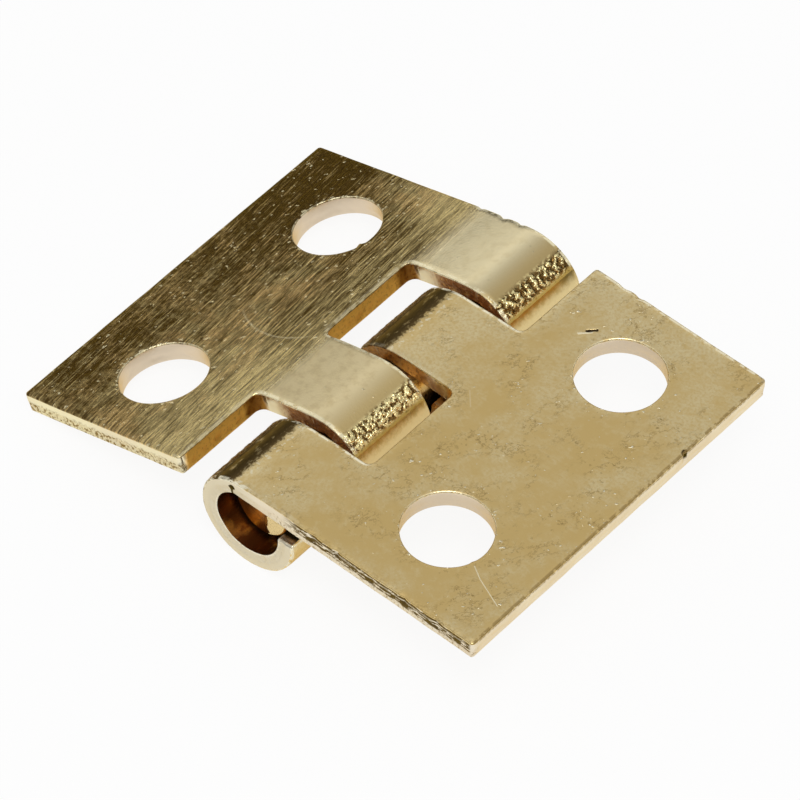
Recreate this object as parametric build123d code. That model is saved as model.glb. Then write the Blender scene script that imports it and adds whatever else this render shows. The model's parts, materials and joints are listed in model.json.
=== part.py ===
from build123d import *
import math
import os

# A small box hinge: two identical leaves stamped from thin brass sheet, with their knuckles
# rolled round one plain wire pin. It lies on a table as a loose hinge does, on its barrel and
# on the outer edge of the left leaf, while the pin's grip holds the right leaf level.
# The origin is on the table under the middle of the pin: X runs across the leaves towards
# the level one, Y along the pin and Z up.

# Driving dimensions, in millimetres and degrees
hinge_length = 8.0  # along the pin
plate_width = 3.95  # from the bottom of the slots to a leaf's outer edge
sheet_thickness = 0.40
curl_thickness = 0.35  # the sheet draws thinner where it is rolled
curl_opening = 0.10  # how far the last quarter of a curl springs away from the round
barrel_diameter = 2.04  # over a rolled knuckle
curl_wrap = 277.0  # turn of a knuckle, from the leaf's flat to the tip of its curl
knuckles_per_leaf = 2
running_gap = 0.22  # between knuckles that turn side by side
centre_gap = 0.22  # between the two middle knuckles
slot_clearance = 0.30  # from a barrel to the bottom of the slot that it turns in
slot_corner_radius = 0.15
hole_diameter = 1.68
hole_spacing = 4.70  # between the two screw holes of a leaf
hole_edge_distance = 2.00  # from a hole's centre to the leaf's outer edge
hole_rim_radius = 0.035  # die roll round each hole, on the smooth face
pin_clearance = 0.09  # radial, between pin and rolled knuckle
pin_recess = 0.40  # from the barrel's ends in to the pin's ends
pin_end_chamfer = 0.08

# Sizes that follow from them
barrel_radius = barrel_diameter / 2
bore_radius = barrel_radius - curl_thickness
underside = barrel_radius - sheet_thickness  # of a level leaf's flat, over the pin's axis
slot_edge = barrel_radius + slot_clearance
leaf_reach = slot_edge + plate_width
hole_offset = leaf_reach - hole_edge_distance
gaps_total = knuckles_per_leaf * running_gap + (knuckles_per_leaf - 1) * centre_gap
knuckle_width = (hinge_length - gaps_total) / (2 * knuckles_per_leaf)
pin_radius = bore_radius - pin_clearance
pin_length = hinge_length - 2 * pin_recess
cut_margin = barrel_diameter  # how far a cutting tool runs past the metal

# The left leaf hangs down until the lower corner of its outer edge meets the table, on which
# the opened part of its curls lies too; that height of the pin and that slope go together
corner_drop = underside - curl_opening
corner_radius = math.hypot(leaf_reach, corner_drop)
open_radius = barrel_radius + curl_opening
droop = math.degrees(math.atan2(corner_drop, leaf_reach) + math.asin(open_radius / corner_radius))
axis_height = open_radius - curl_opening * math.cos(math.radians(droop))


def own_knuckles():
    """Front and back of each knuckle of the right leaf, along Y."""
    pitch = 2 * knuckle_width + running_gap + centre_gap
    front = -hinge_length / 2
    return [(front + i * pitch, front + i * pitch + knuckle_width) for i in range(knuckles_per_leaf)]


def own_slots():
    """Front and back of each slot of the right leaf; the last one is open at the leaf's end."""
    knuckles = own_knuckles()
    next_fronts = [front for front, back in knuckles[1:]] + [hinge_length / 2 + cut_margin]
    return [(back, next_front) for (front, back), next_front in zip(knuckles, next_fronts)]


def sheet_section():
    """The sheet's section across the pin: a flat that runs into an open curl round the axis.

    The curl is round over the first half turn. Its last part springs open, about a centre
    a little higher, and its tip ends under the flat with a seam gap between them.
    """
    last_turn = curl_wrap - 180
    tip = 270 + last_turn
    flat_end = -math.sqrt(bore_radius**2 - underside**2)
    flat_end_angle = math.degrees(math.atan2(underside, flat_end))
    outer_flat = Line((leaf_reach, barrel_radius), (0, barrel_radius))
    outer_round = CenterArc((0, 0), barrel_radius, 90, 180)
    outer_open = CenterArc((0, curl_opening), open_radius, 270, last_turn)
    inner_open = CenterArc((0, curl_opening), bore_radius + curl_opening, tip, -last_turn)
    tip_face = Line(outer_open @ 1, inner_open @ 0)
    inner_round = CenterArc((0, 0), bore_radius, 270, flat_end_angle - 270)
    inner_flat = Line((flat_end, underside), (leaf_reach, underside))
    outer_edge = Line((leaf_reach, underside), (leaf_reach, barrel_radius))
    outline = [outer_flat, outer_round, outer_open, tip_face, inner_open, inner_round]
    return Plane.XZ * make_face(outline + [inner_flat, outer_edge])


def slot_cutter(front, back):
    """A punch with rounded corners that clears one slot down through flat and curl."""
    length = slot_edge + barrel_radius + cut_margin
    centre = Pos(slot_edge - length / 2, (front + back) / 2)
    return extrude(centre * RectangleRounded(length, back - front, slot_corner_radius), cut_margin, both=True)


def hole_rims(metal):
    """The rims of the screw holes at the smooth face."""
    circles = metal.edges().filter_by(GeomType.CIRCLE).group_by(Axis.Z)[-1]
    return circles.filter_by(lambda edge: math.isclose(edge.radius, hole_diameter / 2))


def leaf():
    """One leaf about the pin's axis, its flat towards +X and its smooth face up."""
    blank = extrude(sheet_section(), hinge_length / 2, both=True)
    for front, back in own_slots():
        blank -= slot_cutter(front, back)
    for y in (-hole_spacing / 2, hole_spacing / 2):
        blank -= Pos(hole_offset, y) * Cylinder(hole_diameter / 2, 2 * cut_margin)
    return fillet(hole_rims(blank), hole_rim_radius)


def pin():
    """The wire pin about the same axis, with its ends broken."""
    wire = Cylinder(pin_radius, pin_length)
    wire = chamfer(wire.edges().filter_by(GeomType.CIRCLE), pin_end_chamfer)
    return Rot(90, 0, 0) * wire


on_table = Pos(0, 0, axis_height)
half_turn = Rot(0, 0, 180)
hang_down = Rot(0, -droop, 0)
nodes = {
    "right_leaf": on_table * leaf(),
    "left_leaf": on_table * hang_down * half_turn * leaf(),
    "hinge_pin": on_table * pin(),
}

os.makedirs("parts", exist_ok=True)
for name, solid in nodes.items():
    export_step(solid, f"parts/{name}.step")
print("left leaf's droop", round(droop, 3), "degrees; pin's height", round(axis_height, 5), "mm")
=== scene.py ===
"""Studio scene of a small stamped brass box hinge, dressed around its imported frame.

The leaves are rebuilt as sheet metal: a flat blank with punched holes and slots, sheared
edges with die roll, burnish and torn fracture, and tabs rolled into open curls. Lengths are
in millimetres and become metres where a mesh is made.
"""

from __future__ import annotations

import json
import logging
import math
from dataclasses import dataclass, field
from enum import Enum
from typing import NamedTuple, Optional, Sequence, Union

import bpy
import numpy as np
from mathutils import Matrix, Vector, noise
from mathutils.geometry import delaunay_2d_cdt

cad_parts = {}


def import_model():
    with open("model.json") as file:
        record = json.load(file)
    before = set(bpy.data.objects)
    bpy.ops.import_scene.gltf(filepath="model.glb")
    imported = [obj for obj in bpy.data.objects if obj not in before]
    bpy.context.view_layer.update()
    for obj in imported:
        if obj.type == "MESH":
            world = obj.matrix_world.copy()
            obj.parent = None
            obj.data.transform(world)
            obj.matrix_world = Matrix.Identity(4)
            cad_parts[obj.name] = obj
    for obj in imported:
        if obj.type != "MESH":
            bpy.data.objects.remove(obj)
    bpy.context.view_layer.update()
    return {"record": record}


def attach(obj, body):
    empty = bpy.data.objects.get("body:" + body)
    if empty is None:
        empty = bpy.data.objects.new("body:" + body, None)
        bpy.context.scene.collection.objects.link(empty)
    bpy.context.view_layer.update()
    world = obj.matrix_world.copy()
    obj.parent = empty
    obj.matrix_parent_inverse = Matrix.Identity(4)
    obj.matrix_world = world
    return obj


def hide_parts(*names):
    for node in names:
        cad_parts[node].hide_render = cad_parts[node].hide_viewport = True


LOG = logging.getLogger("box_hinge")
MM = 0.001
SHEET = "sheet"
EDGE_TINT = (0.92, 0.76, 0.46)
BRUSH_TURN = math.radians(-4.0)
IN_PLANE = (1.0, 1.0, 0.0)
NOISE_MIDDLE = 0.5

Colour = tuple[float, float, float]
Point = tuple[float, float]
Span = tuple[float, float]
Shares = tuple[float, float]


def smoothstep(low: float, high: float, value: float) -> float:
    """Ease a value from 0 at low to 1 at high.

    Args:
        low: Where the ease starts.
        high: Where it ends.
        value: The value to ease.

    Returns:
        A number from 0 to 1.
    """
    t = min(1.0, max(0.0, (value - low) / (high - low)))
    return t * t * (3 - 2 * t)


def grain(s: float, y: float, per_mm: float, seed: float) -> float:
    """Smooth noise on the flat sheet.

    Args:
        s: Place across the sheet.
        y: Place along the pin.
        per_mm: How many lumps to a millimetre.
        seed: Moves the pattern, so that two grains differ.

    Returns:
        A number from about -1 to 1.
    """
    return noise.noise(Vector((s * per_mm + seed, y * per_mm - seed, seed)))


@dataclass(frozen=True)
class HingeSizes:
    """The hinge's sizes, the same as the solids have."""

    length: float = 8.0
    plate_width: float = 3.95
    sheet: float = 0.40
    curl: float = 0.35
    opening: float = 0.10
    barrel: float = 1.02
    wrap: float = math.radians(277.0)
    running_gap: float = 0.22
    centre_gap: float = 0.22
    slot_clearance: float = 0.30
    slot_corner: float = 0.15
    hole: float = 0.84
    hole_spacing: float = 4.70
    hole_edge: float = 2.00
    pin_clearance: float = 0.09
    pin_recess: float = 0.40

    @property
    def bore(self) -> float:
        """Radius inside a curl."""
        return self.barrel - self.curl

    @property
    def underside(self) -> float:
        """Height of a level leaf's underside over the pin's axis."""
        return self.barrel - self.sheet

    @property
    def open_radius(self) -> float:
        """Radius of the opened last part of a curl."""
        return self.barrel + self.opening

    @property
    def slot_edge(self) -> float:
        """Distance from the axis to the bottom of the slots."""
        return self.barrel + self.slot_clearance

    @property
    def reach(self) -> float:
        """Distance from the axis to a leaf's outer edge."""
        return self.slot_edge + self.plate_width

    @property
    def hole_offset(self) -> float:
        """Distance from the axis to the screw holes."""
        return self.reach - self.hole_edge

    @property
    def knuckle(self) -> float:
        """Length of one knuckle along the pin."""
        return (self.length - 2 * self.running_gap - self.centre_gap) / 4

    @property
    def tip(self) -> float:
        """Length of sheet in a curl, measured along its outside."""
        return math.pi * self.barrel + (self.wrap - math.pi) * self.open_radius

    @property
    def droop(self) -> float:
        """Slope of the left leaf as it rests on the table, in radians."""
        drop = self.underside - self.opening
        tilt = math.asin(self.open_radius / math.hypot(self.reach, drop))
        return math.atan2(drop, self.reach) + tilt

    @property
    def axis_height(self) -> float:
        """Height of the pin's axis over the table."""
        return self.open_radius - self.opening * math.cos(self.droop)


class Side(Enum):
    """Which of the two like leaves is meant."""

    LEFT = "left_leaf"
    RIGHT = "right_leaf"


class Zone(Enum):
    """The parts of a stamped leaf that have their own finish, as material slots."""

    FACE = 0
    EDGE = 1
    UNDER = 2


@dataclass(frozen=True)
class Wire:
    """A shader socket that can stand in a Python expression."""

    bench: "ShaderBench"
    socket: bpy.types.NodeSocket

    def _math(self, operation: str, first: "Value", second: "Value" = 0.0) -> "Wire":
        """Add one Math node.

        Args:
            operation: The node's operation.
            first: Its first value.
            second: Its second value.

        Returns:
            The node's result.
        """
        return self.bench.node("ShaderNodeMath", {"operation": operation}, {0: first, 1: second})

    def __add__(self, other: "Value") -> "Wire":
        """Sum."""
        return self._math("ADD", self, other)

    def __radd__(self, other: "Value") -> "Wire":
        """Sum, from the right."""
        return self._math("ADD", other, self)

    def __sub__(self, other: "Value") -> "Wire":
        """Difference."""
        return self._math("SUBTRACT", self, other)

    def __rsub__(self, other: "Value") -> "Wire":
        """Difference, from the right."""
        return self._math("SUBTRACT", other, self)

    def __mul__(self, other: "Value") -> "Wire":
        """Product."""
        return self._math("MULTIPLY", self, other)

    def __rmul__(self, other: "Value") -> "Wire":
        """Product, from the right."""
        return self._math("MULTIPLY", other, self)

    def __truediv__(self, other: "Value") -> "Wire":
        """Quotient."""
        return self._math("DIVIDE", self, other)

    def __abs__(self) -> "Wire":
        """Size without sign."""
        return self._math("ABSOLUTE", self)

    def least(self, other: "Value") -> "Wire":
        """The smaller of two values."""
        return self._math("MINIMUM", self, other)

    def most(self, other: "Value") -> "Wire":
        """The larger of two values."""
        return self._math("MAXIMUM", self, other)

    def ease(self, low: float, high: float) -> "Wire":
        """Ease the value to 0 at low and 1 at high; low may be the larger.

        Args:
            low: Value that becomes 0.
            high: Value that becomes 1.

        Returns:
            A value from 0 to 1.
        """
        rises = low < high
        sockets = {
            "Value": self,
            "From Min": min(low, high),
            "From Max": max(low, high),
            "To Min": 0.0 if rises else 1.0,
            "To Max": 1.0 if rises else 0.0,
        }
        return self.bench.node("ShaderNodeMapRange", {"interpolation_type": "SMOOTHSTEP"}, sockets)


Value = Union[Wire, float, int, Colour, Vector]


@dataclass(frozen=True)
class SheetPlace:
    """A place on the flat sheet, whole and in parts, in millimetres."""

    place: Wire
    across: Wire
    along: Wire
    depth: Wire


@dataclass(frozen=True)
class Speckle:
    """A noise texture on the sheet, which may be turned and then drawn out."""

    scale: float = 1.0
    detail: float = 2.0
    rough: float = 0.5
    stretch: Optional[tuple[float, float, float]] = None
    turn: float = 0.0


class Bump(NamedTuple):
    """How much of a height shows, and what a height of 1 stands for in millimetres."""

    strength: float
    rise: float


class ShaderBench:
    """One node tree and the ways nodes are put into it."""

    def __init__(self, tree: bpy.types.NodeTree) -> None:
        """Start from an empty tree."""
        self.tree = tree
        tree.nodes.clear()

    def node(
        self,
        kind: str,
        settings: Optional[dict] = None,
        sockets: Optional[dict] = None,
        output: Union[int, str] = 0,
    ) -> Wire:
        """Add a node.

        Args:
            kind: The node's type.
            settings: Its properties, set before its sockets; stops fill a colour ramp.
            sockets: Values or wires, by socket name or number.
            output: Which output to return.

        Returns:
            The chosen output.
        """
        node = self.tree.nodes.new(kind)
        for name, value in (settings or {}).items():
            if name == "stops":
                self._fill_ramp(node.color_ramp, value)
            else:
                setattr(node, name, value)
        for name, value in (sockets or {}).items():
            self.feed(node.inputs[name], value)
        if not node.outputs:
            return Wire(self, node.inputs[0])
        return Wire(self, node.outputs[output])

    def feed(self, target: bpy.types.NodeSocket, value: Value) -> None:
        """Link a wire to a socket, or set the socket's own value.

        Args:
            target: The socket.
            value: A wire, a number, a colour or a vector.
        """
        if isinstance(value, Wire):
            self.tree.links.new(value.socket, target)
        elif target.type == "RGBA":
            target.default_value = (*value, 1.0)
        else:
            target.default_value = value

    @staticmethod
    def _fill_ramp(ramp: bpy.types.ColorRamp, stops: Sequence[tuple[float, Colour]]) -> None:
        """Give a colour ramp its stops.

        Args:
            ramp: The ramp.
            stops: Place and colour of each stop, in order.
        """
        while len(ramp.elements) < len(stops):
            ramp.elements.new(1.0)
        for element, (place, colour) in zip(ramp.elements, stops):
            element.position = place
            element.color = (*colour, 1.0)

    def blend(self, factor: Value, first: Value, second: Value) -> Wire:
        """Mix two colours.

        Args:
            factor: 0 for the first, 1 for the second.
            first: First colour.
            second: Second colour.

        Returns:
            The mixed colour.
        """
        mix = {"data_type": "RGBA", "blend_type": "MIX"}
        return self.node("ShaderNodeMix", mix, {0: factor, 6: first, 7: second}, output=2)

    def sheet(self) -> SheetPlace:
        """The place on the flat sheet: across, along the pin and down into it.

        Returns:
            The place and its parts.
        """
        settings = {"attribute_type": "GEOMETRY", "attribute_name": SHEET}
        place = self.node("ShaderNodeAttribute", settings, output="Vector")
        return SheetPlace(place, *(self.part(place, axis) for axis in "XYZ"))

    def part(self, vector: Wire, axis: str) -> Wire:
        """One component of a vector, X, Y or Z."""
        return self.node("ShaderNodeSeparateXYZ", {}, {0: vector}, output=axis)

    def vector_math(self, operation: str, first: Value, second: Value, output: Union[int, str] = 0) -> Wire:
        """Add one Vector Math node.

        Args:
            operation: The node's operation.
            first: Its first vector.
            second: Its second vector.
            output: Which output to return.

        Returns:
            The node's result.
        """
        return self.node("ShaderNodeVectorMath", {"operation": operation}, {0: first, 1: second}, output)

    def stretch(self, vector: Wire, scale: Sequence[float], turn: float = 0.0) -> Wire:
        """Turn a place in the sheet's plane and then scale it.

        Args:
            vector: The place.
            scale: Lumps to a millimetre along each axis.
            turn: Angle of the turn, in radians.

        Returns:
            The new place.
        """
        turned = vector
        if turn:
            settings = {"rotation_type": "Z_AXIS"}
            turned = self.node("ShaderNodeVectorRotate", settings, {"Vector": vector, "Angle": turn})
        return self.vector_math("MULTIPLY", turned, Vector(scale))

    def speckle(self, vector: Wire, texture: Speckle) -> Wire:
        """Noise over a place.

        Args:
            vector: The place.
            texture: How fine the noise is and how it is drawn out.

        Returns:
            A value around 0.5.
        """
        if texture.stretch:
            vector = self.stretch(vector, texture.stretch, texture.turn)
        sockets = {
            "Vector": vector,
            "Scale": texture.scale,
            "Detail": texture.detail,
            "Roughness": texture.rough,
        }
        return self.node("ShaderNodeTexNoise", {"noise_dimensions": "3D"}, sockets)

    def spot_distance(self, vector: Wire, spot: Point) -> Wire:
        """Distance on the sheet from a spot, in millimetres."""
        flat = self.stretch(vector, IN_PLANE)
        return self.vector_math("DISTANCE", flat, Vector((*spot, 0.0)), "Value")

    def line_distance(self, vector: Wire, start: Point, end: Point) -> Wire:
        """Distance on the sheet from a straight scratch.

        Args:
            vector: The place.
            start: One end of the scratch.
            end: Its other end.

        Returns:
            The distance in millimetres.
        """
        run = Vector((end[0] - start[0], end[1] - start[1], 0.0))
        away = self.vector_math("SUBTRACT", self.stretch(vector, IN_PLANE), Vector((*start, 0.0)))
        along = self.vector_math("DOT_PRODUCT", away, run, "Value")
        share = (along / run.length_squared).least(1.0).most(0.0)
        foot = self.node("ShaderNodeVectorMath", {"operation": "SCALE"}, {0: run, "Scale": share})
        return self.vector_math("DISTANCE", away, foot, "Value")

    def hole_distance(self, at: SheetPlace, sizes: HingeSizes) -> Wire:
        """How far a place on the sheet is from the middle of the nearer screw hole.

        Args:
            at: The place.
            sizes: The hinge's sizes.

        Returns:
            The distance in millimetres.
        """
        folded = self.node("ShaderNodeCombineXYZ", {}, {"X": at.across, "Y": abs(at.along)})
        centre = Vector((sizes.hole_offset, sizes.hole_spacing / 2, 0.0))
        return self.vector_math("DISTANCE", folded, centre, "Value")

    def bump(self, height: Wire, strength: float, distance: float, below: Optional[Wire] = None) -> Wire:
        """Turn a height into a normal.

        Args:
            height: The height, from 0 to 1.
            strength: How much of it shows.
            distance: What a height of 1 stands for, in millimetres.
            below: A normal to build on.

        Returns:
            The normal.
        """
        sockets: dict = {"Strength": strength, "Distance": distance * MM, "Height": height}
        if below is not None:
            sockets["Normal"] = below
        return self.node("ShaderNodeBump", {}, sockets)

    def metal(self, colour: Value, roughness: Value, normal: Wire, bare: Value = 1.0) -> Wire:
        """A bare metal's shader.

        Args:
            colour: Its reflection colour.
            roughness: Its roughness.
            normal: Its normal.
            bare: How metallic the surface is, from 1 down to 0; lowered where a painted highlight or
                painted amber should show as diffuse colour.

        Returns:
            The shader.
        """
        sockets = {"Base Color": colour, "Metallic": bare, "Roughness": roughness, "Normal": normal}
        sockets["Specular Tint"] = EDGE_TINT
        return self.node("ShaderNodeBsdfPrincipled", {}, sockets)

    def surface(self, shader: Wire) -> None:
        """Make a shader the material's surface."""
        self.node("ShaderNodeOutputMaterial", {}, {"Surface": shader})


def new_material(name: str) -> tuple[bpy.types.Material, ShaderBench]:
    """Make an empty node material.

    Args:
        name: The material's name.

    Returns:
        The material and its bench.
    """
    material = bpy.data.materials.new(name)
    material.use_nodes = True
    return material, ShaderBench(material.node_tree)


@dataclass(frozen=True)
class SoftArea:
    """An area of the sheet with soft borders; each span runs from nothing to full."""

    across: tuple[Span, ...] = ()
    along: tuple[Span, ...] = ()

    def mask(self, at: SheetPlace) -> Wire:
        """How much of the area is at a place.

        Args:
            at: The place on the sheet.

        Returns:
            A value from 0 to 1.
        """
        masks = [at.across.ease(*span) for span in self.across]
        masks += [at.along.ease(*span) for span in self.along]
        return math.prod(masks[1:], start=masks[0])


@dataclass(frozen=True)
class BendGrain:
    """Orange-peel grain that the roll leaves on the outside of a bend."""

    start: float = -0.80
    end: float = -1.20
    soft: float = 0.07
    lumps: float = 11.0
    fine_lumps: float = 21.0
    fine_share: float = 0.6
    fine_seed: float = 7.0
    rise: float = 0.011
    shaded_rise: float = 0.085

    def strength_at(self, s: float) -> float:
        """How strong the grain is at a place across the sheet, from 0 to 1."""
        rise = smoothstep(-self.start - self.soft, -self.start + self.soft, -s)
        return rise * (1 - smoothstep(-self.end - self.soft, -self.end + self.soft, -s))

    def mask(self, at: SheetPlace) -> Wire:
        """The same strength as a wire.

        Args:
            at: The place on the sheet.

        Returns:
            A value from 0 to 1.
        """
        rise = at.across.ease(self.start + self.soft, self.start - self.soft)
        return rise * at.across.ease(self.end - self.soft, self.end + self.soft)

    def peel(self, bench: ShaderBench, at: SheetPlace) -> Wire:
        """The grain's lumps, around 0.5."""
        return bench.speckle(at.place, Speckle(self.lumps))


@dataclass(frozen=True)
class LipHighlight:
    """Where the face rolls over into a cut edge: a painted highlight along it, broken up by noise."""

    texture: Speckle = Speckle(7.0, 3.0, 0.6)
    levels: Span = (0.38, 0.52)
    drop: Span = (0.001, 0.006)
    highlight_diffuse_share: float = 0.5

    def mask(self, bench: ShaderBench, at: SheetPlace) -> Wire:
        """How much of the lip shows at a place.

        Args:
            bench: Where the nodes go.
            at: The place on the sheet.

        Returns:
            A value from 0 to 1.
        """
        broken = bench.speckle(at.place, self.texture).ease(*self.levels)
        return at.depth.ease(*self.drop) * broken


@dataclass(frozen=True)
class TarnishAndShadeShares:
    """How much each cause adds to the bare metal of the brushed face, or takes from it: tarnish and its
    wearing away, and painted shade and light that stand in for the plate's reflections.
    """

    bare: float = 0.12
    streak: float = 0.56
    patch: float = 0.70
    outer: float = 0.50
    outer_far: float = 0.30
    far: float = 0.12
    painted_shade_patch: float = 0.32
    painted_light_patch: float = 0.24
    painted_shade_band: float = 0.17
    bright_hair: float = 0.40
    dark_hair: float = 0.36


@dataclass(frozen=True)
class BrushedFace:
    """Smooth side of the left leaf: brushed along the pin and tarnished, with plain matt tabs; painted
    shade, light, glints and reflection over the plate, the tabs, the bend's grain and the rolled lips.

    Areas are places on the sheet, and levels say from where to where a texture shows.
    """

    sizes: HingeSizes
    gold: Colour = (0.92, 0.74, 0.35)
    copper: Colour = (0.90, 0.64, 0.28)
    tarnish: Colour = (0.10, 0.058, 0.016)
    pale: Colour = (1.00, 0.84, 0.50)
    bend_shade: Colour = (0.70, 0.53, 0.24)
    bright: Colour = (1.00, 0.90, 0.60)
    amber: Colour = (0.50, 0.34, 0.09)
    crevice_shade: Colour = (0.17, 0.10, 0.03)
    khaki: Colour = (0.86, 0.69, 0.35)
    spark: Colour = (1.00, 0.86, 0.44)
    bend: BendGrain = BendGrain()
    rolled: LipHighlight = LipHighlight()
    shares: TarnishAndShadeShares = TarnishAndShadeShares()
    coarse: Speckle = Speckle(1.0, 3.0, 0.6, (7.0, 0.8, 1.0), BRUSH_TURN)
    fine: Speckle = Speckle(1.0, 3.0, 0.65, (28.0, 1.8, 1.0), BRUSH_TURN)
    hairs: Speckle = Speckle(1.0, 2.0, 0.5, (25.0, 1.5, 1.0), BRUSH_TURN)
    patches: Speckle = Speckle(1.1, 5.0, 0.65)
    blots: Speckle = Speckle(8.0, 4.0, 0.65)
    mottle: Speckle = Speckle(4.5, 4.0, 0.6)
    flecks: Speckle = Speckle(1.0, 2.0, 0.6, (11.0, 7.0, 1.0), 0.5)
    unevenness: Speckle = Speckle(3.0)
    matt: Speckle = Speckle(20.0, 3.0, 0.6)
    brushed: SoftArea = SoftArea(across=((0.85, 1.45),))
    # Darker outwards and towards the far end: partly tarnish, partly painted shade.
    outer: SoftArea = SoftArea(across=((1.4, 4.4),))
    far: SoftArea = SoftArea(along=((1.5, -4.0),))
    # Painted shade on a patch by the slot, painted light along the far end and painted shade on a band
    # along the outer edge.
    painted_shade_patch: SoftArea = SoftArea(across=((3.1, 2.1),), along=((1.6, -0.2), (-3.4, -2.4)))
    painted_light_patch: SoftArea = SoftArea(across=((4.0, 3.5),), along=((-3.1, -3.6),))
    painted_shade_band: SoftArea = SoftArea(across=((3.9, 4.6),), along=((0.5, 1.5), (3.7, 3.0)))
    coppery: SoftArea = SoftArea(across=((1.6, 2.6),))
    lively_tab: SoftArea = SoftArea(along=((-0.8, -1.6),))
    bent: SoftArea = SoftArea(across=((-0.22, -0.72),))
    near: SoftArea = SoftArea(along=((-0.6, 0.6),))
    tab: SoftArea = SoftArea(across=((1.55, 1.42),))
    slot_bottom: SoftArea = SoftArea(across=((1.18, 1.32),))
    under: SoftArea = SoftArea(across=((-1.16, -1.36),))
    streak_mix: Shares = (0.35, 0.65)
    streak_levels: Span = (0.42, 0.60)
    blot_levels: Span = (0.40, 0.62)
    blot_share: float = 0.45
    bright_hairs: Span = (0.56, 0.66)
    dark_hairs: Span = (0.43, 0.34)
    copper_levels: Span = (0.40, 0.60)
    mottle_levels: Span = (0.42, 0.68)
    mottle_share: float = 0.4
    lively_share: float = 0.5
    arc_middle: Point = (2.33, -0.62)
    arc_radius: float = 1.26
    arc_width: Span = (0.035, 0.0)
    arc_part: SoftArea = SoftArea(along=((0.25, 0.45),))
    arc_share: float = 0.5
    rim_mark_reach: Span = (1.02, 0.88)
    rim_scuff_and_glint_share: float = 0.07
    rim_lip_highlight: float = 9.0
    patch_specks: float = 0.08
    speck_levels: Span = (0.695, 0.745)
    speck_share: float = 0.8
    spark_levels: Span = (0.48, 0.58)
    near_sparks: float = 0.07
    uneven_share: float = 0.25
    slot_bottom_share: float = 0.6
    hem_top: Span = (-1.14, -1.24)
    hem_bottom: Span = (-1.50, -1.24)
    hem_uneven: float = 0.3
    hem_fray: float = 0.07
    brush_mix: Shares = (0.4, 0.6)
    arc_rise: float = 0.25
    speck_rise: float = 0.35
    brush_bump: Bump = Bump(0.95, 0.030)
    matt_bump: Bump = Bump(0.35, 0.012)
    matt_loss: float = 0.7
    rough: float = 0.30
    brushed_gloss: float = 0.12
    crust_gloss: float = 0.10
    lively_gloss: float = 0.09
    matt_haze: float = 0.06
    under_haze: float = 0.12
    lip_gloss: float = 0.10

    def tarnish_wear_and_shade(self, bench: ShaderBench, at: SheetPlace, streak: Wire, patch: Wire) -> Wire:
        """How much bare metal shows through the plate's tarnish, with painted shade and light added.

        Args:
            bench: Where the nodes go.
            at: The place on the sheet.
            streak: The brushed lines.
            patch: The cloudy patches.

        Returns:
            A value from 0 to 1.
        """
        shares = self.shares
        outer = self.outer.mask(at)
        far = self.far.mask(at)
        hairs = bench.speckle(at.place, self.hairs)
        wear_and_light = streak * shares.streak + patch * shares.patch + shares.bare
        # Partly tarnish, partly painted shade: darker outwards and towards the far end; then painted shade,
        # painted light and painted shade on three patches.
        wear_and_light = wear_and_light - outer * (shares.outer + shares.outer_far * far) - far * shares.far
        wear_and_light = wear_and_light - self.painted_shade_patch.mask(at) * shares.painted_shade_patch + self.painted_light_patch.mask(at) * shares.painted_light_patch
        wear_and_light = wear_and_light - self.painted_shade_band.mask(at) * shares.painted_shade_band
        wear_and_light = wear_and_light + hairs.ease(*self.bright_hairs) * shares.bright_hair
        wear_and_light = wear_and_light - hairs.ease(*self.dark_hairs) * shares.dark_hair
        return wear_and_light.least(1.0).most(0.0)

    def material(self) -> bpy.types.Material:
        """Make the finish.

        Returns:
            The material.
        """
        material, bench = new_material("brushed_face")
        at = bench.sheet()
        brushed = self.brushed.mask(at)
        coarse = bench.speckle(at.place, self.coarse)
        fine = bench.speckle(at.place, self.fine)
        patch = bench.speckle(at.place, self.patches)
        blots = bench.speckle(at.place, self.blots).ease(*self.blot_levels)
        streak = (coarse * self.streak_mix[0] + fine * self.streak_mix[1]).ease(*self.streak_levels)
        streak = streak + (blots - streak) * self.outer.mask(at) * self.blot_share
        warm = bench.blend(patch.ease(*self.copper_levels) * self.coppery.mask(at), self.gold, self.copper)
        plate = bench.blend(self.tarnish_wear_and_shade(bench, at, streak, patch), self.tarnish, warm)
        mottle = bench.speckle(at.place, self.mottle).ease(*self.mottle_levels) * self.mottle_share
        clear = self.lively_tab.mask(at) * (1 - brushed)
        lively = bench.blend(clear * self.lively_share, self.pale, self.bright)
        # Mottled, and painted shade where the tab curves over towards the grain.
        plain = (mottle * (1 - clear * self.lively_share)).most(self.bent.mask(at))
        colour = bench.blend(brushed, bench.blend(plain, lively, self.bend_shade), plate)
        away = bench.spot_distance(at.place, self.arc_middle)
        arc = abs(away - self.arc_radius).ease(*self.arc_width) * self.arc_part.mask(at)
        # Bright specks, more of them round the screw holes, and a scratch: the specks are partly bare
        # metal, partly painted glints.
        rim_scuffs_and_glints = bench.hole_distance(at, self.sizes).ease(*self.rim_mark_reach) * self.rim_scuff_and_glint_share
        flecks = bench.speckle(at.place, self.flecks) + rim_scuffs_and_glints
        specks = (flecks + patch * self.patch_specks * brushed).ease(*self.speck_levels)
        shown = (specks + arc * self.arc_share).least(1.0) * self.speck_share
        colour = bench.blend(shown, colour, self.bright)
        height = (coarse * self.brush_mix[0] + fine * self.brush_mix[1]) * brushed
        height = height + arc * self.arc_rise + specks * self.speck_rise
        normal = bench.bump(height, *self.brush_bump)
        # Painted glints and shade in the bend's grain: bright sparks and dark hollows, the sparks brighter
        # on the near knuckle.
        crust = self.bend.mask(at)
        peel = self.bend.peel(bench, at)
        uneven = (bench.speckle(at.place, self.unevenness) - NOISE_MIDDLE) * self.uneven_share
        sparks = (peel + self.near.mask(at) * self.near_sparks + uneven).ease(*self.spark_levels)
        colour = bench.blend(crust, colour, bench.blend(sparks, self.crevice_shade, self.spark))
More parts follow.
